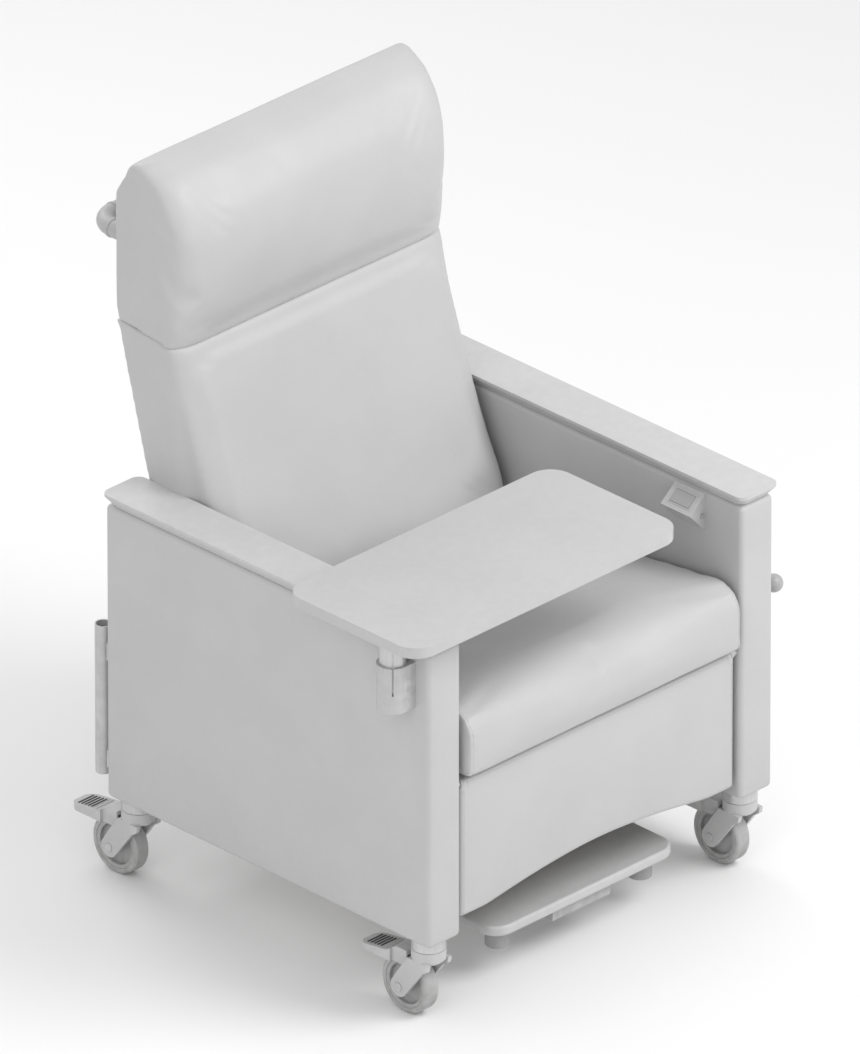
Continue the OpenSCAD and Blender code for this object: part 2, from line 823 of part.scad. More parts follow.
module legrest_pad() {
    steps = 48;
    arch = [for (i = [0 : steps]) let (x = pad_arch_half_w * (2 * i / steps - 1)) [x, pad_edge(x)]];
    color("slategray") at_origin() difference() {
        translate([0, pad_back_y, 0]) rotate([90, 0, 0]) linear_extrude(pad_back_y - pad_front_y) polygon(concat(
            [[-pad_half_w, pad_bottom]], arch,
            [[pad_half_w, pad_bottom], [pad_half_w, pad_top], [-pad_half_w, pad_top]]
        ));
        both_sides() block([ear_in - 2, pad_half_w + 1], [pad_front_y - 1, pad_back_y + 1], [leg_hinge[1] - 9, pad_top + 1]);
    }
}

module foot_rail() {
    frame_z = pad_bottom + pad_arch;
    color("dimgray") at_origin() {
        block([-rail_half_w, rail_half_w], [60, hanger_y[1]], [64, 78]);
        block([-hanger_out, hanger_out], hanger_y, [60, 80]);
        both_sides() {
            block([hanger_out - hanger_t, hanger_out], hanger_y, [60, frame_z + 8]);
            block([hanger_out - hanger_t, hanger_out], [leg_frame_y + leg_tube, hanger_y[1]], [frame_z - 6, frame_z + 8]);
        }
    }
}

module foot_carriage() {
    rear = hanger_y[0] - 2;
    color("dimgray") at_origin() difference() {
        block([-carriage_half_w, carriage_half_w], [carriage_front_y, rear], [carriage_bottom, board_bottom]);
        block([-rail_half_w - slide_gap, rail_half_w + slide_gap], [carriage_front_y + 5, rear + 1],
              [64 - slide_gap, 78 + slide_gap]);
    }
}

module foot_board() {
    color("gainsboro") at_origin()
        rounded_block([-board_half_w, board_half_w], [board_front_y, board_rear_y], [board_bottom, board_top], board_corner_r);
}

module foot_pads() {
    color("black") at_origin() both_sides()
        z_rod(foot_pad_r, [foot_pad_bottom, board_bottom], [foot_pad_x, foot_pad_y]);
}

module legrest_actuator_rod() {
    swing = leg_crank * (1 - cos(lift_angle / 2));
    eye_rear = leg_pin[0] + crank_pin_r + leg_eye_play + eye_wall;
    color("silver") at_origin() {
        y_rod(leg_rod_r, [eye_rear - 1, leg_rod_y], [leg_drive_x, leg_drive_z]);
        slotted_eye(leg_drive_x, leg_pin[0], leg_drive_z, swing, leg_eye_play);
    }
}

// ---------------------------------------------------------------- table

module table_post() {
    color("silver") at_origin() difference() {
        z_rod(post_r, [post_foot, post_head], [post_x, post_y]);
        z_rod(spigot_r + run_gap, [spigot_foot - 2, post_head + 1], [post_x, post_y]);
        translate([post_x, post_y, 0]) rotate([0, 0, 225])
            block([post_r - groove_depth, post_r + 1], [-groove_w / 2, groove_w / 2], [socket_slit_z, post_head + 1]);
    }
}

module at_table_screws() {
    for (turn = [45 : 90 : 315])
        translate([post_x + table_screw_reach * cos(turn), post_y + table_screw_reach * sin(turn), 0]) children();
}

module table_plate() {
    color("silver") at_origin() difference() {
        union() {
            z_rod(plate_r, plate_z, [post_x, post_y]);
            z_rod(spigot_r, [spigot_foot, plate_z[0] + 1], [post_x, post_y]);
        }
        at_table_screws() z_rod(table_screw_r + run_gap, [plate_z[0] - 1, plate_z[1] + 1], [0, 0]);
    }
}

module table_top() {
    x = [table_left_x, table_left_x + table_w];
    y = [table_front_y, table_front_y + table_d];
    color("gainsboro") at_origin() difference() {
        rounded_block(x, y, [plate_z[1], table_h], table_corner_r);
        at_table_screws() z_rod(table_screw_r + run_gap, [plate_z[1] - 1, plate_z[1] + 12], [0, 0]);
    }
}

module table_screws() {
    color("silver") at_origin() at_table_screws() {
        z_rod(4.5, [plate_z[0] - 0.4, plate_z[0]], [0, 0]);
        z_rod(table_screw_r, [plate_z[0] - 0.2, plate_z[1] + 11], [0, 0]);
    }
}

// ---------------------------------------------------------------- casters

module at_caster(corner) {
    at_origin() translate([caster_places[corner][0], caster_places[corner][1], 0]) children();
}

module caster_stems() {
    color("silver") at_origin() for (place = caster_places) {
        z_rod(neck_r, [flange_z, panel_bottom], place);
        z_rod(stem_r, [panel_bottom - 1, rail_low + tube / 2 + 5], place);
        z_rod(kingpin_r, [crown_z + 2, flange_z + 1], place);
    }
}

module leg_outline() {
    axle = [trail, wheel_r];
    lean = [0.839, 0.545] * leg_r;
    translate(axle) circle(leg_r);
    polygon([
        axle + lean, [34, 90], [20, cup_z], [-24, cup_z], [-22, 98], [-10, 90], [3.6, 71], axle - lean
    ]);
}

module fork(corner) {
    axle = [trail, wheel_r];
    color("gainsboro") at_caster(corner) difference() {
        union() {
            z_rod(neck_r, [cup_z, flange_z - free_gap], [0, 0]);
            translate([0, 0, crown_z]) cylinder(r1 = neck_r - 5, r2 = neck_r, h = cup_z - crown_z);
            both_sides() across([fork_in, fork_out]) leg_outline();
        }
        z_rod(kingpin_r + run_gap, [crown_z - 1, flange_z], [0, 0]);
        x_rod(axle_r + run_gap, [-fork_out - 1, fork_out + 1], axle);
        both_sides() x_rod(pedal_pivot_r + run_gap, [fork_in - 1, fork_in + 4.5], pedal_pivot);
    }
}

module axle_bolt(corner) {
    axle = [trail, wheel_r];
    color("silver") at_caster(corner) {
        x_rod(axle_r, [-fork_out - 1, fork_out + 1], axle);
        both_sides() x_rod(axle_head_r, [fork_out, fork_out + axle_head_t], axle);
    }
}

module on_axle() {
    translate([0, trail, wheel_r]) rotate([0, 90, 0]) children();
}

module wheel(corner) {
    half_w = wheel_w / 2;
    boss = fork_in - 0.3;
    color("gray") at_caster(corner) on_axle() rotate_extrude() polygon([
        [axle_r + run_gap, -boss], [12, -boss], [12, -6], [tyre_in_r - 6, -4],
        [tyre_in_r - 6, -half_w + 2.5], [tyre_in_r, -half_w + 1], [tyre_in_r, half_w - 1],
        [tyre_in_r - 6, half_w - 2.5], [tyre_in_r - 6, 4], [12, 6], [12, boss], [axle_r + run_gap, boss]
    ]);
}

module tyre(corner) {
    half_w = wheel_w / 2;
    shoulder = 3;
    color("dimgray") at_caster(corner) on_axle() rotate_extrude() polygon([
        [tyre_in_r, -half_w + 1], [tyre_in_r + 1, -half_w], [wheel_r - shoulder, -half_w],
        [wheel_r, -half_w + shoulder], [wheel_r, half_w - shoulder], [wheel_r - shoulder, half_w],
        [tyre_in_r + 1, half_w], [tyre_in_r, half_w - 1]
    ]);
}

module pedal(corner) {
    hood_r = wheel_r + 7;
    step_z = [103, 94];
    rib_gap = (pedal_tip_y - 24 - tread_y) / (pedal_ribs - 1);
    color("gainsboro") at_caster(corner) {
        difference() {
            intersection() {
                across([-tread_half_w, tread_half_w]) polygon([
                    [30, 114], [52, 114], [70, step_z[0]], [pedal_tip_y - 3, step_z[1]],
                    [pedal_tip_y, step_z[1] - 3], [pedal_tip_y - 4, step_z[1] - 9], [40, 86], [24, 90],
                    [14, 92], [12, 98], [16, 103], [30, 103]
                ]);
                translate([0, 0, 76]) linear_extrude(44) {
                    translate([-pedal_half_w, 10]) square([2 * pedal_half_w, tread_y - 9]);
                    translate([-tread_half_w, tread_y]) square([2 * tread_half_w, pedal_tip_y - tread_half_w - tread_y]);
                    translate([0, pedal_tip_y - tread_half_w]) circle(tread_half_w);
                }
            }
            x_rod(hood_r, [-pedal_skirt_in, pedal_skirt_in], [trail, wheel_r]);
            block([-pedal_skirt_in, pedal_skirt_in], [0, 40], [80, 103]);
        }
        both_sides() x_rod(pedal_pivot_r, [pedal_half_w - 1, fork_in + 4], pedal_pivot);
        for (i = [0 : pedal_ribs - 1])
            x_rod(1.6, [-tread_half_w + 5, tread_half_w - 5],
                  [tread_y + 14 + i * rib_gap * 0.9, step_z[0] - 1 - i * (step_z[0] - step_z[1]) / pedal_ribs]);
    }
}

// ---------------------------------------------------------------- nodes

base_frame();
side_panel_right();
side_panel_left();
arm_cap_right();
arm_cap_left();
panel_screws();
seat_pan();
seat_cushion();
back_hinge_pins();
legrest_hinge_pins();
back_actuator();
legrest_actuator();
actuator_pins();
control_box();
leads();
table_socket();
iv_pole_tube();
control_housing();
control_rocker();
control_button();
release_lever();
lever_knob();
back_frame();
back_cushion();
head_cushion();
back_panel();
push_bar();
back_actuator_rod();
legrest_frame();
legrest_pad();
foot_rail();
foot_carriage();
foot_board();
foot_pads();
legrest_actuator_rod();
table_post();
table_plate();
table_top();
table_screws();
caster_stems();
fork(0);  // fork_front_right
wheel(0);  // wheel_front_right
tyre(0);  // tyre_front_right
pedal(0);  // pedal_front_right
axle_bolt(0);  // axle_front_right
fork(1);  // fork_front_left
wheel(1);  // wheel_front_left
tyre(1);  // tyre_front_left
pedal(1);  // pedal_front_left
axle_bolt(1);  // axle_front_left
fork(2);  // fork_rear_right
wheel(2);  // wheel_rear_right
tyre(2);  // tyre_rear_right
pedal(2);  // pedal_rear_right
axle_bolt(2);  // axle_rear_right
fork(3);  // fork_rear_left
wheel(3);  // wheel_rear_left
tyre(3);  // tyre_rear_left
pedal(3);  // pedal_rear_left
axle_bolt(3);  // axle_rear_left
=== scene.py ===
"""Looks of the patient recliner chair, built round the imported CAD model.

Lengths are in metres. -Y is the chair's front, +X the sitter's left and +Z up. Soft parts are
modelled here from their CAD solids; hard parts stay and get softened edges and materials.
"""
import json
import math

import bmesh
import bpy
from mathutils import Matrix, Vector, noise
from mathutils.bvhtree import BVHTree
from mathutils.kdtree import KDTree


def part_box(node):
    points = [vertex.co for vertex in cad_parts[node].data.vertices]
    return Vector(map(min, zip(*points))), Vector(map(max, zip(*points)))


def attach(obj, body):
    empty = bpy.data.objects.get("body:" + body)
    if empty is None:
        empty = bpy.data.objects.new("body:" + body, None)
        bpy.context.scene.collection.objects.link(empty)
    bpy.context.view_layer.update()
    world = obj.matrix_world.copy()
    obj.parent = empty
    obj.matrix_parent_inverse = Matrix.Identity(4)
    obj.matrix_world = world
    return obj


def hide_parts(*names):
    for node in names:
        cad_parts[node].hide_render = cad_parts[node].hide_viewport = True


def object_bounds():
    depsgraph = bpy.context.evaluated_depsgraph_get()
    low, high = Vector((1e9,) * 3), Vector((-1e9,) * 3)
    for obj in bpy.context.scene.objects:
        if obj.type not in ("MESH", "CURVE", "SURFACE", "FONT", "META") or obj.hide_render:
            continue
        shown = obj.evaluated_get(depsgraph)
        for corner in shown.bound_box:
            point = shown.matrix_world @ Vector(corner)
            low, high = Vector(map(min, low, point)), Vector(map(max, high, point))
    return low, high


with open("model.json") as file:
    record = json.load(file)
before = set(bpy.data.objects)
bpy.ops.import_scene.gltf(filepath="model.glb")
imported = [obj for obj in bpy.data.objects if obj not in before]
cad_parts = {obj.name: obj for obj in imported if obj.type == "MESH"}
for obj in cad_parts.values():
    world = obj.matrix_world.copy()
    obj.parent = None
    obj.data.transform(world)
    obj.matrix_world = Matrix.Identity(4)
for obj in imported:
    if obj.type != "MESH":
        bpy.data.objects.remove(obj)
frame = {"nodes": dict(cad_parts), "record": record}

CAD_BOX = [list(corner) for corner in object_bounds()]
NODES = frame["nodes"]
MM = 0.001


# ------------------------------------------------------------------ materials

class Finish:
    """One node material: colour variation, grain, uneven roughness and worn edges."""

    def __init__(self, name, colour, roughness, metallic=0.0):
        self.material = bpy.data.materials.new(name)
        self.material.use_nodes = True
        self.material.diffuse_color = (*colour, 1)
        self.tree = self.material.node_tree
        self.shader = self.tree.nodes["Principled BSDF"]
        self.shader.inputs["Metallic"].default_value = metallic
        self.place = self.node("ShaderNodeTexCoord").outputs["Object"]
        self.normal = None
        self.colour = self.patches(colour)
        self.uneven_roughness(roughness)

    def node(self, kind, settings=None, **inputs):
        """A new node; inputs are values, or sockets to link."""
        made = self.tree.nodes.new(kind)
        for key, value in (settings or {}).items():
            setattr(made, key, value)
        for key, value in inputs.items():
            socket = made.inputs[key.replace("_", " ")]
            if isinstance(value, bpy.types.NodeSocket):
                self.tree.links.new(value, socket)
            else:
                socket.default_value = value
        return made

    def texture(self, scale, detail=3.0, stretch=None):
        """Noise of a scale in bumps per metre, drawn out along an axis by stretch."""
        place = self.place
        if stretch:
            place = self.node("ShaderNodeMapping", Vector=place, Scale=stretch).outputs["Vector"]
        return self.node("ShaderNodeTexNoise", Vector=place, Scale=scale, Detail=detail).outputs["Fac"]

    def ramp(self, value, low, high, at_low, at_high):
        """value rescaled from low..high to at_low..at_high, clamped."""
        made = self.node("ShaderNodeMapRange", Value=value)
        for key, number in zip(("From Min", "From Max", "To Min", "To Max"), (low, high, at_low, at_high)):
            made.inputs[key].default_value = number
        return made.outputs["Result"]

    def mixed(self, factor, first, second):
        """Colour mix; first and second are sockets or colours."""
        made = self.node("ShaderNodeMix", {"data_type": "RGBA"})
        self.tree.links.new(factor, made.inputs[0])
        for socket, value in ((made.inputs[6], first), (made.inputs[7], second)):
            if isinstance(value, bpy.types.NodeSocket):
                self.tree.links.new(value, socket)
            else:
                socket.default_value = (*value, 1)
        return made.outputs[2]

    def product(self, first, second):
        """Two values multiplied."""
        made = self.node("ShaderNodeMath", {"operation": "MULTIPLY"})
        self.tree.links.new(first, made.inputs[0])
        self.tree.links.new(second, made.inputs[1])
        return made.outputs[0]

    def patches(self, colour, scale=9, spread=0.02):
        """Broad, faint light and dark patches."""
        dark = [c * (1 - spread) for c in colour]
        light = [min(1, c * (1 + spread)) for c in colour]
        return self.mixed(self.ramp(self.texture(scale, 4), 0.35, 0.65, 0, 1), dark, light)

    def uneven_roughness(self, roughness, scale=35, spread=0.06):
        """Roughness that wavers round its value by up to spread."""
        value = self.ramp(self.texture(scale, 5), 0.3, 0.7, roughness - spread, roughness + spread)
        self.tree.links.new(value, self.shader.inputs["Roughness"])

    def bump(self, height, depth, strength=1.0):
        """Adds one layer of relief of a depth."""
        made = self.node("ShaderNodeBump", Height=height, Distance=depth, Strength=strength)
        if self.normal is not None:
            self.tree.links.new(self.normal, made.inputs["Normal"])
        self.normal = made.outputs["Normal"]
        return self

    def pebbles(self, size, depth):
        """Leather-like grain: rounded cells parted by fine creases."""
        warp = self.node("ShaderNodeTexNoise", Vector=self.place, Scale=0.4 / size, Detail=2.0)
        place = self.node("ShaderNodeVectorMath", {"operation": "MULTIPLY_ADD"})
        self.tree.links.new(warp.outputs["Color"], place.inputs[0])
        place.inputs[1].default_value = (size, size, size)
        self.tree.links.new(self.place, place.inputs[2])
        cells = self.node(
            "ShaderNodeTexVoronoi", {"feature": "DISTANCE_TO_EDGE"},
            Vector=place.outputs[0], Scale=1 / size,
        ).outputs["Distance"]
        relief = self.ramp(cells, 0.0, 0.22, 0, 1)
        self.colour = self.mixed(self.ramp(relief, 0, 0.6, 0.10, 0), self.colour, [0.25, 0.25, 0.25])
        return self.bump(relief, depth)

    def speckle(self, size, depth, tint=0.06):
        """Fine moulded or sprayed texture with a faint speckle of colour."""
        grain = self.texture(1 / size, 2)
        self.colour = self.mixed(self.ramp(grain, 0.35, 0.65, tint, 0), self.colour, [0.2, 0.2, 0.2])
        return self.bump(grain, depth)

    def brushed(self, stretch, depth):
        """Fine parallel streaks along the axis whose stretch is smallest."""
        streaks = self.texture(900, 3, stretch)
        self.colour = self.mixed(self.ramp(streaks, 0.3, 0.7, 0.18, 0), self.colour, [0.22, 0.22, 0.23])
        return self.bump(streaks, depth)

    def rings(self, spacing, depth):
        """Wood grain in wavering bands."""
        wave = self.node(
            "ShaderNodeTexWave", Vector=self.place, Scale=1 / spacing, Distortion=4.0, Detail=3.0,
        ).outputs["Fac"]
        self.colour = self.mixed(self.ramp(wave, 0.2, 0.9, 0, 0.5), self.colour, [0.30, 0.21, 0.12])
        return self.bump(wave, depth)

    def scuffs(self, amount):
        """Short fine scratches that only change the gloss."""
        marks = self.texture(120, 6, (1, 14, 3))
        value = self.ramp(marks, 0.62, 0.78, 0, amount)
        old = self.shader.inputs["Roughness"].links[0].from_socket
        summed = self.node("ShaderNodeMath", {"operation": "ADD", "use_clamp": True})
        self.tree.links.new(old, summed.inputs[0])
        self.tree.links.new(value, summed.inputs[1])
        self.tree.links.new(summed.outputs[0], self.shader.inputs["Roughness"])
        return self

    def worn_edges(self, colour, amount=0.5):
        """Outer edges rubbed towards a colour, in broken patches."""
        sharp = self.node("ShaderNodeNewGeometry").outputs["Pointiness"]
        rubbed = self.ramp(sharp, 0.515, 0.56, 0, amount)
        broken = self.ramp(self.texture(60, 6), 0.4, 0.62, 0, 1)
        self.colour = self.mixed(self.product(rubbed, broken), self.colour, colour)
        return self

    def grime(self, height, amount, colour=(0.16, 0.15, 0.14)):
        """Dust that thickens towards the floor, up to a height."""
        level = self.node("ShaderNodeSeparateXYZ", Vector=self.place).outputs["Z"]
        low = self.ramp(level, 0, height, amount, 0)
        broken = self.ramp(self.texture(70, 5), 0.35, 0.65, 0.2, 1)
        self.colour = self.mixed(self.product(low, broken), self.colour, colour)
        return self

    def done(self, coat=0.0, sheen=0.0):
        """Links colour and relief to the shader and returns the material."""
        self.tree.links.new(self.colour, self.shader.inputs["Base Color"])
        if self.normal is not None:
            self.tree.links.new(self.normal, self.shader.inputs["Normal"])
        self.shader.inputs["Coat Weight"].default_value = coat
        self.shader.inputs["Coat Roughness"].default_value = 0.35
        self.shader.inputs["Sheen Weight"].default_value = sheen
        return self.material


def grey(value):
    return (value, value, value)


def vinyl():
    """Upholstery: satin vinyl with a pebbled grain."""
    finish = Finish("vinyl", grey(0.50), 0.44).pebbles(1.7 * MM, 0.10 * MM)
    return finish.worn_edges(grey(0.58), 0.3).done(0.05)


def side_vinyl():
    """The side panels' cover: the same vinyl, scuffed and dusty near the floor."""
    finish = Finish("side_vinyl", grey(0.50), 0.47).pebbles(1.7 * MM, 0.08 * MM)
    finish.worn_edges(grey(0.58), 0.3).grime(height=0.35, amount=0.08, colour=grey(0.30))
    return finish.scuffs(0.15).done(0.04)


def thread():
    return Finish("thread", grey(0.40), 0.7).speckle(0.5 * MM, 0.1 * MM).done(sheen=0.2)


def moulding():
    """Arm caps, pod and foot board: textured polyurethane."""
    finish = Finish("moulding", grey(0.51), 0.42).speckle(0.7 * MM, 0.05 * MM)
    return finish.worn_edges(grey(0.62), 0.4).scuffs(0.18).done(0.08)


def laminate():
    finish = Finish("laminate", grey(0.47), 0.34).speckle(1.1 * MM, 0.015 * MM, tint=0.05)
    return finish.worn_edges(grey(0.60), 0.25).scuffs(0.22).done(0.12)


def plywood():
    return Finish("plywood", (0.50, 0.38, 0.25), 0.6).rings(0.03, 0.2 * MM).done()


def frame_paint():
    finish = Finish("frame_paint", grey(0.42), 0.45).speckle(1.4 * MM, 0.06 * MM)
    return finish.worn_edges(grey(0.6), 0.4).grime(0.2, 0.3).done(0.1)


def bright_steel():
    finish = Finish("bright_steel", grey(0.60), 0.35, 0.6).brushed((1, 1, 0.02), 0.01 * MM)
    return finish.scuffs(0.2).done()


def satin_steel():
    """Sprayed-looking steel of the post socket, pole tube, lever and table plate."""
    finish = Finish("satin_steel", grey(0.50), 0.42, 0.25).brushed((1, 1, 0.03), 0.012 * MM)
    return finish.worn_edges(grey(0.72), 0.4).done(0.1)


def actuator_case():
    finish = Finish("actuator_case", grey(0.13), 0.5).speckle(1.0 * MM, 0.05 * MM)
    return finish.worn_edges(grey(0.3), 0.4).done()


def black_plastic():
    """The ball knob, rocker and button; mid grey, as drawn."""
    finish = Finish("black_plastic", grey(0.38), 0.4).speckle(0.6 * MM, 0.04 * MM)
    return finish.worn_edges(grey(0.4)).done(0.1)


def black_rubber():
    """The foot board's round feet and the leads; mid grey, as drawn."""
    return Finish("black_rubber", grey(0.36), 0.75).speckle(0.9 * MM, 0.08 * MM).grime(0.1, 0.3).done()


def caster_shell():
    """Forks and brake pedals."""
    finish = Finish("caster_shell", grey(0.50), 0.4).speckle(0.7 * MM, 0.05 * MM)
    return finish.worn_edges(grey(0.60), 0.4).grime(0.13, 0.15).done(0.08)


def shade_strip_paint():
    """Dark strips on the brake pedals: painted shade that stands in for the shade between the pedal's
    ribs.
    """
    return Finish("shade_strip_paint", grey(0.05), 0.7).speckle(0.8 * MM, 0.06 * MM).done()


def wheel_core():
    return Finish("wheel_core", grey(0.42), 0.45).speckle(0.7 * MM, 0.05 * MM).grime(0.1, 0.4).done()


def tyre_tread():
    finish = Finish("tyre_tread", grey(0.43), 0.6).speckle(1.2 * MM, 0.08 * MM)
    return finish.grime(0.1, 0.5).scuffs(0.1).done()


SLOT_MATERIALS = {
    "upholstery": vinyl(),
    "moulding": moulding(),
    "laminate": laminate(),
    "plywood": plywood(),
    "frame_paint": frame_paint(),
    "bright_steel": bright_steel(),
    "satin_steel": satin_steel(),
    "actuator_case": actuator_case(),
    "black_plastic": black_plastic(),
    "black_rubber": black_rubber(),
    "caster_shell": caster_shell(),
    "wheel_core": wheel_core(),
    "tyre": tyre_tread(),
}
SIDE_VINYL = side_vinyl()
THREAD = thread()
# Painted shade: near-black colour of the strips laid over the brake pedals' ribs.
SHADE_STRIP_PAINT = shade_strip_paint()


def paint(obj, material):
    obj.data.materials.clear()
    obj.data.materials.append(material)


# ------------------------------------------------------------------ mesh helpers

def new_object(name, data):
    """An object of that name in the scene, holding a mesh, a light or a camera."""
    obj = bpy.data.objects.new(name, data)
    bpy.context.scene.collection.objects.link(obj)
    return obj


def object_of(name, bm):
    """A new object with the mesh of a bmesh, which is freed."""
    mesh = bpy.data.meshes.new(name)
    bm.to_mesh(mesh)
    bm.free()
    return new_object(name, mesh)


def modifier(obj, kind, **settings):
    """A modifier of a kind, added with its settings."""
    made = obj.modifiers.new(kind.lower(), kind)
    for key, value in settings.items():
        setattr(made, key, value)
    return made


def bake(obj):
    """Replaces the mesh by what its modifiers make of it."""
    graph = bpy.context.evaluated_depsgraph_get()
    mesh = bpy.data.meshes.new_from_object(obj.evaluated_get(graph))
    obj.modifiers.clear()
    obj.data = mesh
    return obj


def smooth_shade(obj):
    obj.data.shade_smooth()
    return obj


def joined_bmesh(node):
    """The CAD node's mesh with its split corners joined."""
    bm = bmesh.new()
    bm.from_mesh(NODES[node].data)
    bmesh.ops.remove_doubles(bm, verts=bm.verts, dist=0.01 * MM)
    return bm


def follow(chain, edges):
    """Lengthens a chain of vertices at its end along edges, taking them out of the set."""
    while True:
        following = [edge for edge in chain[-1].link_edges if edge in edges]
        if not following:
            return
        edges.remove(following[0])
        chain.append(following[0].other_vert(chain[-1]))


def sharp_chains(node, keep, angle=25):
    """Runs of the CAD node's sharp edges whose both ends pass keep(), as lists of points."""
    bm = joined_bmesh(node)
    edges = {
        edge for edge in bm.edges
        if len(edge.link_faces) == 2 and edge.calc_face_angle() > math.radians(angle)
        and all(keep(vert.co) for vert in edge.verts)
    }
    chains = []
    while edges:
        edge = min(edges, key=lambda e: tuple(e.verts[0].co) + tuple(e.verts[1].co))
        edges.remove(edge)
        chain = [edge.verts[0], edge.verts[1]]
        for _ in ("forwards", "backwards"):
            follow(chain, edges)
            chain.reverse()
        chains.append([vert.co.copy() for vert in chain])
    bm.free()
    return chains


def resampled(chain, step):
    """Evenly spaced points along a run of points."""
    points = [chain[0].copy()]
    left = step
    for start, end in zip(chain, chain[1:]):
        run = (end - start).length
        along = left
        while along <= run:
            points.append(start.lerp(end, along / run))
            along += step
        left = along - run
    return points


def tree_of(lines, step=4 * MM):
    """Search tree of points spaced along lines."""
    points = [point for line in lines for point in resampled(line, step)]
    tree = KDTree(len(points))
    for index, point in enumerate(points):
        tree.insert(point, index)
    tree.balance()
    return tree


# ------------------------------------------------------------------ soft parts

VOXEL = 6 * MM
CLOTH_FRAMES = 20
PRESSURE = 4.0
SEAM_TAKE_UP = 4.5 * MM
SEAM_HELD = 26 * MM
END_DEPTH = 26 * MM
HEAD_RISE = 11 * MM
ARCH_FADE = 150 * MM
HEAD_LOW, HEAD_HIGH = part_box("head_cushion")
BACK_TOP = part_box("back_cushion")[1].z


def soft_copy(node, name, rounding, inset, voxel=VOXEL):
    """A remeshed copy of a CAD solid with rounded edges, drawn in by inset."""
    obj = object_of(name, joined_bmesh(node))
    modifier(obj, "REMESH", mode="VOXEL", voxel_size=voxel)
    modifier(obj, "SMOOTH", factor=0.5, iterations=rounding)
    modifier(obj, "DISPLACE", strength=-inset, mid_level=0.0)
    return bake(obj)


def inflate(obj, held, cap):
    """Cloth pressure swells the piece where held(co, normal) is false, by at most cap."""
    mesh = obj.data
    group = obj.vertex_groups.new(name="held")
    for vert in mesh.vertices:
        if held(vert.co, vert.normal):
            group.add([vert.index], 1.0, "REPLACE")
    cloth = modifier(obj, "CLOTH")
    cloth.settings.vertex_group_mass = group.name
    cloth.settings.use_pressure = True
    cloth.settings.uniform_pressure_force = PRESSURE
    cloth.settings.effector_weights.gravity = 0
    cloth.settings.quality = 4
    cloth.collision_settings.use_collision = False
    cloth.point_cache.frame_end = CLOTH_FRAMES
    scene = bpy.context.scene
    for step in range(1, CLOTH_FRAMES + 1):
        scene.frame_set(step)
    graph = bpy.context.evaluated_depsgraph_get()
    swollen = [vert.co.copy() for vert in obj.evaluated_get(graph).data.vertices]
    obj.modifiers.clear()
    obj.vertex_groups.clear()
    for vert, target in zip(mesh.vertices, swollen):
        shift = target - vert.co
        if shift.length > cap:
            shift.length = cap
        vert.co += shift
    scene.frame_set(1)


def subdivided(obj, smoothing=2):
    """Smooths the surface and splits each face in four."""
    modifier(obj, "SMOOTH", factor=0.5, iterations=smoothing)
    modifier(obj, "SUBSURF", levels=1, render_levels=1)
    bake(obj)


def displaced(obj, shift):
    """Moves every vertex by shift(place, normal), all normals being read before any move."""
    vertices = obj.data.vertices
    normals = [vert.normal.copy() for vert in vertices]
    for vert, normal in zip(vertices, normals):
        vert.co += shift(vert.co, normal)
    obj.data.update()


def groove(obj, lines, depth, reach):
    """Draws the surface in along seam lines."""
    tree = tree_of(lines, 2 * MM)

    def inwards(co, normal):
        distance = min(tree.find(co)[2] / reach, 1)
        return normal * -depth * (1 - distance ** 2) ** 2

    displaced(obj, inwards)


def ripple(obj, lines, height, reach, length):
    """Small puckers in the cover that fade away from the seams."""
    tree = tree_of(lines)

    def pucker(co, normal):
        distance = min(tree.find(co)[2] / reach, 1)
        fade = (1 - distance) ** 2 * min(1, distance / 0.15)
        return normal * height * fade * noise.noise(co / length)

    displaced(obj, pucker)


def creases(obj, height, length):
    """Faint broad unevenness over the whole cover."""
    displaced(obj, lambda co, normal: normal * height * noise.noise(co / length))


def clamped(value):
    """The value, kept between 0 and 1."""
    return min(1, max(0, value))


def round_ends(obj, reach, rise):
    """Rolls the front edges back near both ends, and lifts the top between the ends by rise.

    The roll starts at reach from each end. Both moves fade away inside the cushion, so no surface
    passes another.
    """
    fade = 90 * MM
    band = 8 * MM
    points = [vert.co for vert in obj.data.vertices]
    half = max(abs(co.x) for co in points)
    top = max(co.z for co in points)
    front = {}
    for co in points:
        level = round(co.z / band)
        front[level] = min(front.get(level, co.y), co.y)

    def roll(co, normal):
        share = clamped((abs(co.x) - half + reach) / reach)
        fall = 1 - math.sqrt(1 - share * share)
        near_front = clamped(1 - (co.y - front[round(co.z / band)]) / fade)
        near_top = clamped(1 - (top - co.z) / fade)
        return Vector((0, END_DEPTH * fall * near_front, rise * (1 - fall) * near_top))

    displaced(obj, roll)


def seam_height(co):
    """Height of the seam between back and head at a point: it rises from the front to the rear."""
    along = clamped((co.y - HEAD_LOW.y) / (HEAD_HIGH.y - HEAD_LOW.y))
    return HEAD_LOW.z + (BACK_TOP - HEAD_LOW.z) * along


def meet_seam(obj, way):
    """Stretches the edge at the seam of the back and the head, upwards or downwards, to close it."""
    reach = 40 * MM

    def stretch(co, normal):
        near = clamped(1 - abs(co.z - seam_height(co)) / reach)
        return Vector((0, 0, way * SEAM_TAKE_UP * near))

    displaced(obj, stretch)


STITCH_PITCH = 5.5 * MM
STITCH_LENGTH = 3.6 * MM
STITCH_HALF_WIDTH = 0.45 * MM
STITCH_OFFSET = 6 * MM
# Along a stitch: place as a share of its length, then width and rise as shares of its half width.
STITCH_SECTIONS = ((-0.5, 0.4, -0.1), (-0.25, 1, 0.5), (0.25, 1, 0.5), (0.5, 0.4, -0.1))
STITCH_TRIANGLE = ((-1, -0.6), (0, 0.6), (1, -0.6))


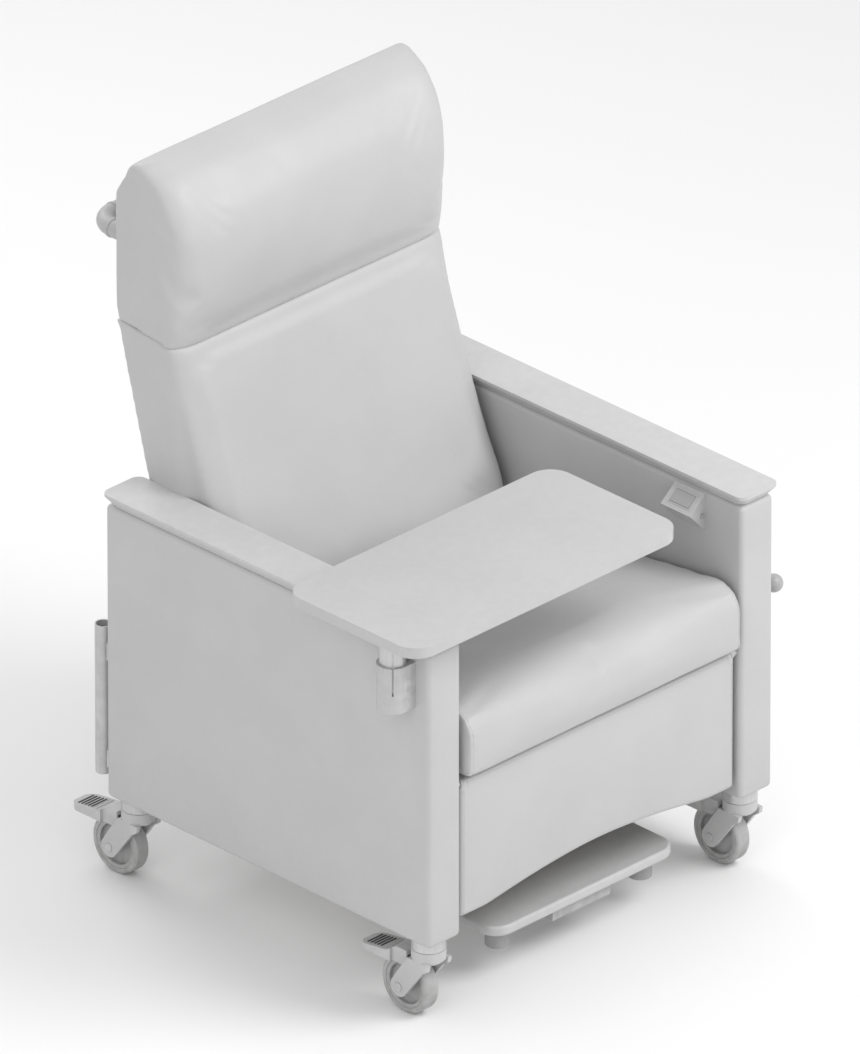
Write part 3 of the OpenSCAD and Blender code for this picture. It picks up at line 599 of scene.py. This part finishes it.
def add_stitch(bm, place, forward, out):
    """One short thread, humped in the middle and sunk at both ends."""
    sideways = forward.cross(out)
    rings = []
    for run, width, rise in STITCH_SECTIONS:
        centre = place + forward * run * STITCH_LENGTH
        rings.append([
            bm.verts.new(centre + (sideways * width * across + out * (rise + up)) * STITCH_HALF_WIDTH)
            for across, up in STITCH_TRIANGLE
        ])
    for first, second in zip(rings, rings[1:]):
        for i in range(3):
            j = (i + 1) % 3
            bm.faces.new((first[i], first[j], second[j], second[i]))
    bm.faces.new(reversed(rings[0]))
    bm.faces.new(rings[-1])


def stitches(name, obj, lines, body):
    """Threads laid on the surface of obj in a row on each side of every line."""
    surface = BVHTree.FromObject(obj, bpy.context.evaluated_depsgraph_get())
    bm = bmesh.new()
    for line in lines:
        points = resampled(line, STITCH_PITCH)
        for before, after in zip(points, points[1:]):
            spot, normal, _, _ = surface.find_nearest((before + after) / 2)
            along = (after - before).normalized()
            across = along.cross(normal).normalized()
            for side in (-1, 1):
                place, out, _, _ = surface.find_nearest(spot + across * side * STITCH_OFFSET)
                if out.dot(normal) < 0.5:
                    continue
                add_stitch(bm, place, (along - out * along.dot(out)).normalized(), out)
    bmesh.ops.recalc_face_normals(bm, faces=bm.faces)
    made = object_of(name, bm)
    paint(made, THREAD)
    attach(made, body)


def finish_soft(obj, node, body, material=SLOT_MATERIALS["upholstery"]):
    """Shades and paints a soft part, which shows in place of its CAD node and rides a body."""
    smooth_shade(obj)
    paint(obj, material)
    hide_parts(node)
    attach(obj, body)


def seat():
    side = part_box("seat_cushion")[1].x - 0.1 * MM
    seams = sharp_chains("seat_cushion", lambda co: abs(co.x) > side)
    obj = soft_copy("seat_cushion", "seat_cover", rounding=8, inset=4 * MM)
    near_seams = tree_of(seams)
    inflate(
        obj, lambda co, normal: normal.z < -0.6 or near_seams.find(co)[2] < 9 * MM, cap=11 * MM
    )
    ripple(obj, seams, height=2.0 * MM, reach=60 * MM, length=24 * MM)
    creases(obj, height=1.0 * MM, length=110 * MM)
    groove(obj, seams, depth=2.5 * MM, reach=9 * MM)
    subdivided(obj)
    finish_soft(obj, "seat_cushion", "base")
    stitches("seat_stitches", obj, seams, "base")


def held_on_back(co, normal):
    """Cover that rests on the back's frame or is pulled into the seam under the head."""
    faces_rear = normal.y > 0.25
    faces_middle = normal.x * co.x < -0.05
    return faces_rear or faces_middle or abs(co.z - seam_height(co)) < SEAM_HELD


def back_part(node, name, end_reach, rise, seam_way):
    """The back's or the head's cover, which meet at the seam."""
    obj = soft_copy(node, name, rounding=7, inset=1.5 * MM)
    round_ends(obj, end_reach, rise)
    inflate(obj, held_on_back, cap=5 * MM)
    creases(obj, height=1.2 * MM, length=140 * MM)
    meet_seam(obj, seam_way)
    subdivided(obj, smoothing=8)
    finish_soft(obj, node, "back")


def back():
    back_part("back_cushion", "back_cover", end_reach=46 * MM, rise=0, seam_way=1)


def head():
    back_part("head_cushion", "head_cover", end_reach=50 * MM, rise=HEAD_RISE, seam_way=-1)


def rear_board():
    obj = soft_copy("back_panel", "rear_cover", rounding=2, inset=0.5 * MM, voxel=4 * MM)
    finish_soft(obj, "back_panel", "back")


RIM_ANGLES = (0, 22, 42, 58, 74)


def slab_marks(low, high, radius, step):
    """Places of the grid lines along one side of a slab: close on the round rims, then by step."""
    rim = [radius * (1 - math.cos(math.radians(angle))) for angle in RIM_ANGLES]
    flat = high - low - 2 * radius
    count = max(2, round(flat / step))
    inner = [low + radius + flat * i / count for i in range(count + 1)]
    return [low + r for r in rim] + inner + [high - r for r in reversed(rim)]


def slab_point(spot, low, high, radius, crown):
    """A point of a slab's grid moved onto its rounded, crowned surface."""
    core = Vector([min(max(spot[i], low[i] + radius), high[i] - radius) for i in range(3)])
    out = (Vector(spot) - core).normalized()
    share = [2 * (spot[i] - low[i]) / (high[i] - low[i]) - 1 for i in range(3)]
    face = max(range(3), key=lambda i: abs(out[i]))
    swell = 1.0
    for i in range(3):
        if i != face:
            swell *= 1 - share[i] ** 4
    return core + out * radius + out * crown[face] * swell


def rounded_slab(name, low, high, radius, step, crown=(0, 0, 0)):
    """A closed box with round edges and faces crowned by crown = (x, y, z) heights."""
    axes = [slab_marks(low[i], high[i], radius, step) for i in range(3)]
    found = {}
    bm = bmesh.new()

    def vert(spot):
        key = tuple(round(c, 6) for c in spot)
        if key not in found:
            found[key] = bm.verts.new(slab_point(spot, low, high, radius, crown))
        return found[key]

    def add_face(across, a, b, i, j, limit):
        corners = []
        for u, v in ((i, j), (i + 1, j), (i + 1, j + 1), (i, j + 1)):
            spot = [0, 0, 0]
            spot[across], spot[a], spot[b] = limit, axes[a][u], axes[b][v]
            corners.append(vert(spot))
        bm.faces.new(corners)

    for across in range(3):
        a, b = [i for i in range(3) if i != across]
        for limit in (low[across], high[across]):
            for i in range(len(axes[a]) - 1):
                for j in range(len(axes[b]) - 1):
                    add_face(across, a, b, i, j, limit)
    bmesh.ops.recalc_face_normals(bm, faces=bm.faces)
    return smooth_shade(object_of(name, bm))


def lower_edge(node):
    """Function that gives the height of a CAD solid's lower edge at x."""
    bm = joined_bmesh(node)
    middle = sum(corner.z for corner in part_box(node)) / 2
    low_verts = [vert.co for vert in bm.verts if vert.co.z < middle]
    points = sorted({(round(co.x, 5), round(co.z, 5)) for co in low_verts})
    bm.free()

    def height(x):
        for (x0, z0), (x1, z1) in zip(points, points[1:]):
            if x0 <= x <= x1:
                return z0 + (z1 - z0) * (x - x0) / (x1 - x0) if x1 > x0 else z0
        return points[0][1]

    return height


def legrest():
    low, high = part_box("legrest_pad")
    front = low.y + 0.1 * MM
    seams = sharp_chains("legrest_pad", lambda co: co.y < front)
    obj = rounded_slab(
        "legrest_cover", low + Vector((MM, MM, MM)), high - Vector((MM, 0, MM)),
        radius=7 * MM, step=8 * MM,
    )
    edge = lower_edge("legrest_pad")

    def arch(co, normal):
        near_edge = clamped(1 - (co.z - low.z) / ARCH_FADE)
        return Vector((0, 0, (edge(co.x) - low.z) * near_edge))

    displaced(obj, arch)
    near_seams = tree_of(seams)
    inflate(obj, lambda co, normal: normal.y > 0.3 or near_seams.find(co)[2] < 8 * MM, cap=4 * MM)
    creases(obj, height=0.6 * MM, length=120 * MM)
    groove(obj, seams, depth=0.8 * MM, reach=8 * MM)
    subdivided(obj)
    finish_soft(obj, "legrest_pad", "legrest")
    stitches("legrest_stitches", obj, seams, "legrest")


def side_panel(node):
    low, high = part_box(node)
    obj = rounded_slab(
        node + "_cover", low, high, radius=9 * MM, step=14 * MM, crown=(1.2 * MM, 0.6 * MM, 0)
    )
    finish_soft(obj, node, "base", SIDE_VINYL)


# ------------------------------------------------------------------ hard parts

CORNERS = ("front_right", "front_left", "rear_right", "rear_left")
STRIPS = 5
STRIP_WIDTH = 3 * MM
STRIP_PITCH = 7.4 * MM
STRIP_MARGIN = 7 * MM
STRIP_END_MARGIN = 2.5 * STRIP_MARGIN
STRIP_RISE = 1.2 * MM
STRIP_ROUND = 0.8 * MM


def pedal_shade_strips(corner):
    """Dark strips of painted shade across a brake pedal, standing in for the shade between its ribs, each
    laid at the height of the pedal under it.
    """
    low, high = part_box("pedal_" + corner)
    surface = BVHTree.FromObject(NODES["pedal_" + corner], bpy.context.evaluated_depsgraph_get())
    middle = (low.x + high.x) / 2
    first = high.y - STRIP_END_MARGIN
    for index in range(STRIPS):
        y = first - index * STRIP_PITCH
        top = surface.ray_cast(Vector((middle, y, high.z + STRIP_PITCH)), Vector((0, 0, -1)))[0].z
        strip = rounded_slab(
            f"painted_shade_strip_{corner}_{index}",
            Vector((low.x + STRIP_MARGIN, y - STRIP_WIDTH / 2, top - STRIP_RISE)),
            Vector((high.x - STRIP_MARGIN, y + STRIP_WIDTH / 2, top + STRIP_RISE)),
            radius=STRIP_ROUND, step=4 * MM,
        )
        # Painted shade: the strips are coloured near-black where the ribs' shade falls.
        paint(strip, SHADE_STRIP_PAINT)
        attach(strip, "brake_" + corner)


EDGE_WIDTHS = {
    "table_top": 6 * MM,
    "foot_board": 5 * MM,
    "arm_cap_left": 2 * MM,
    "arm_cap_right": 2 * MM,
    "control_housing": 1.5 * MM,
    "control_rocker": 0.8 * MM,
    "table_socket": 1.2 * MM,
    "iv_pole_tube": 0.6 * MM,
    "table_plate": 0.6 * MM,
    "foot_pads": 1.5 * MM,
    "control_box": 2 * MM,
    "seat_pan": 1 * MM,
}
FINE_EDGE = 0.8 * MM


def soften_edges(obj, width):
    """Rounds a hard part's edges with modifiers; its own mesh stays as it is."""
    modifier(obj, "WELD", merge_threshold=0.01 * MM)
    modifier(obj, "DECIMATE", decimate_type="DISSOLVE", angle_limit=math.radians(1))
    modifier(
        obj, "BEVEL", width=width, segments=3, limit_method="ANGLE",
        angle_limit=math.radians(32), harden_normals=True
    )
    modifier(obj, "WEIGHTED_NORMAL", keep_sharp=True)


def hard_parts():
    """Paints and softens every CAD node that no soft part stands in for."""
    slots = {part["node"]: part["material_slot"] for part in frame["record"]["subparts"]}
    for node, obj in NODES.items():
        if obj.hide_render:
            continue
        paint(obj, SLOT_MATERIALS[slots[node]])
        obj.data.shade_smooth()
        soften_edges(obj, EDGE_WIDTHS.get(node, FINE_EDGE))


# ------------------------------------------------------------------ studio

AZIMUTH = math.radians(-45)
ELEVATION = math.radians(28)
LENS = 1200
SENSOR = 36
FIELD_HEIGHT = 1.6469
FRAMING = (0.0252, -0.0152)
CLIP_END = 200
FLOOR_GREY = 0.84
FLOOR_HALF = 60
WORLD_GREY = 0.93
WORLD_STRENGTH = 0.84
# Lights: name, place, width and watts.
LIGHTS = (
    ("key", (1.2, -2.6, 3.2), 2.2, 82),
    ("fill", (-3.0, -1.2, 2.2), 2.5, 22),
    ("rim", (0.5, 3.0, 3.0), 2.5, 35),
)


def plain_floor():
    material = bpy.data.materials.new("floor")
    material.use_nodes = True
    shader = material.node_tree.nodes["Principled BSDF"]
    shader.inputs["Base Color"].default_value = (*grey(FLOOR_GREY), 1)
    shader.inputs["Roughness"].default_value = 0.9
    shader.inputs["Specular IOR Level"].default_value = 0
    return material


def lay_floor(height):
    bm = bmesh.new()
    bmesh.ops.create_grid(bm, x_segments=1, y_segments=1, size=FLOOR_HALF)
    floor = object_of("floor", bm)
    floor.location.z = height
    paint(floor, plain_floor())


def light_sky():
    world = bpy.data.worlds.new("studio")
    world.use_nodes = True
    sky = world.node_tree.nodes["Background"]
    sky.inputs["Color"].default_value = (*grey(WORLD_GREY), 1)
    sky.inputs["Strength"].default_value = WORLD_STRENGTH
    bpy.context.scene.world = world


def hang_light(name, place, width, power, target):
    light = bpy.data.lights.new(name, "AREA")
    light.shape = "DISK"
    light.size = width
    light.energy = power
    lamp = new_object(name, light)
    lamp.location = Vector(place)
    lamp.rotation_euler = (target - Vector(place)).to_track_quat("-Z", "Y").to_euler()


def set_camera(target):
    """A far camera with a long lens, so that it draws almost in parallel projection."""
    back_way = Vector((
        math.sin(AZIMUTH) * math.cos(ELEVATION),
        -math.cos(AZIMUTH) * math.cos(ELEVATION),
        math.sin(ELEVATION),
    ))
    data = bpy.data.cameras.new("camera")
    data.lens = LENS
    data.sensor_width = SENSOR
    data.clip_end = CLIP_END
    camera = new_object("camera", data)
    turn = (-back_way).to_track_quat("-Z", "Y")
    aim = target + turn @ Vector((*FRAMING, 0))
    camera.location = aim + back_way * FIELD_HEIGHT * LENS / SENSOR
    camera.rotation_euler = turn.to_euler()
    bpy.context.scene.camera = camera


def studio():
    low, high = (Vector(corner) for corner in CAD_BOX)
    centre = (low + high) / 2
    lay_floor(low.z)
    light_sky()
    for name, place, width, power in LIGHTS:
        hang_light(name, place, width, power, centre)
    set_camera(centre)
    bpy.context.scene.view_settings.view_transform = "Standard"


seat()
back()
head()
rear_board()
legrest()
side_panel("side_panel_right")
side_panel("side_panel_left")
for caster in CORNERS:
    pedal_shade_strips(caster)
hard_parts()
studio()
